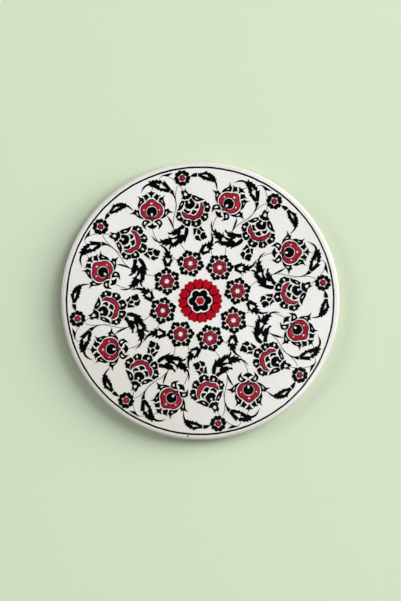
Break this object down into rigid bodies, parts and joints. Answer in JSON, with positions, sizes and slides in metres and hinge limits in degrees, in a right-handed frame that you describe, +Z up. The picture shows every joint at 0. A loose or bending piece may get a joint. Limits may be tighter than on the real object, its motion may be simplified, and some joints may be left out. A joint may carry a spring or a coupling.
{
  "type": "hand painted ceramic plate",
  "caption": "Round flat ceramic plate with a rounded shoulder, white glazed top and a raised black and red floral painting inside a thin border line; rests on its flat underside.",
  "frame": {"origin": "centre of the flat underside, on the surface the plate rests on", "axes": "+Z up out of the painted face; +Y towards the edge that is uppermost when the painting is seen from above, +X to its right"},
  "size_m": [0.18, 0.18, 0.0083],
  "materials": {
    "bare_clay": "bare fired clay, matte, slightly gritty",
    "white_glaze": "clear gloss glaze over a warm white slip",
    "black_enamel": "glossy black underglaze brushwork, slightly raised",
    "red_enamel": "glossy thick tomato red, raised"
  },
  "bodies": {
    "root": {"clay_body": "bare_clay", "glaze_coat": "white_glaze", "border_line": "black_enamel", "rosette_petals": "red_enamel", "rosette_flower": "black_enamel", "rosette_heart": "red_enamel", "vine_1": "black_enamel", "palmette_heart_1": "red_enamel", "palmette_pupil_1": "black_enamel", "lotus_band_1": "red_enamel", "inner_heart_1": "red_enamel", "rim_heart_1": "red_enamel", "vine_2": "black_enamel", "palmette_heart_2": "red_enamel", "palmette_pupil_2": "black_enamel", "lotus_band_2": "red_enamel", "inner_heart_2": "red_enamel", "rim_heart_2": "red_enamel", "vine_3": "black_enamel", "palmette_heart_3": "red_enamel", "palmette_pupil_3": "black_enamel", "lotus_band_3": "red_enamel", "inner_heart_3": "red_enamel", "rim_heart_3": "red_enamel", "vine_4": "black_enamel", "palmette_heart_4": "red_enamel", "palmette_pupil_4": "black_enamel", "lotus_band_4": "red_enamel", "inner_heart_4": "red_enamel", "rim_heart_4": "red_enamel", "vine_5": "black_enamel", "palmette_heart_5": "red_enamel", "palmette_pupil_5": "black_enamel", "lotus_band_5": "red_enamel", "inner_heart_5": "red_enamel", "rim_heart_5": "red_enamel", "vine_6": "black_enamel", "palmette_heart_6": "red_enamel", "palmette_pupil_6": "black_enamel", "lotus_band_6": "red_enamel", "inner_heart_6": "red_enamel", "rim_heart_6": "red_enamel", "vine_7": "black_enamel", "palmette_heart_7": "red_enamel", "palmette_pupil_7": "black_enamel", "lotus_band_7": "red_enamel", "inner_heart_7": "red_enamel", "rim_heart_7": "red_enamel", "vine_8": "black_enamel", "palmette_heart_8": "red_enamel", "palmette_pupil_8": "black_enamel", "lotus_band_8": "red_enamel", "inner_heart_8": "red_enamel", "rim_heart_8": "red_enamel"}
  },
  "joints": []
}
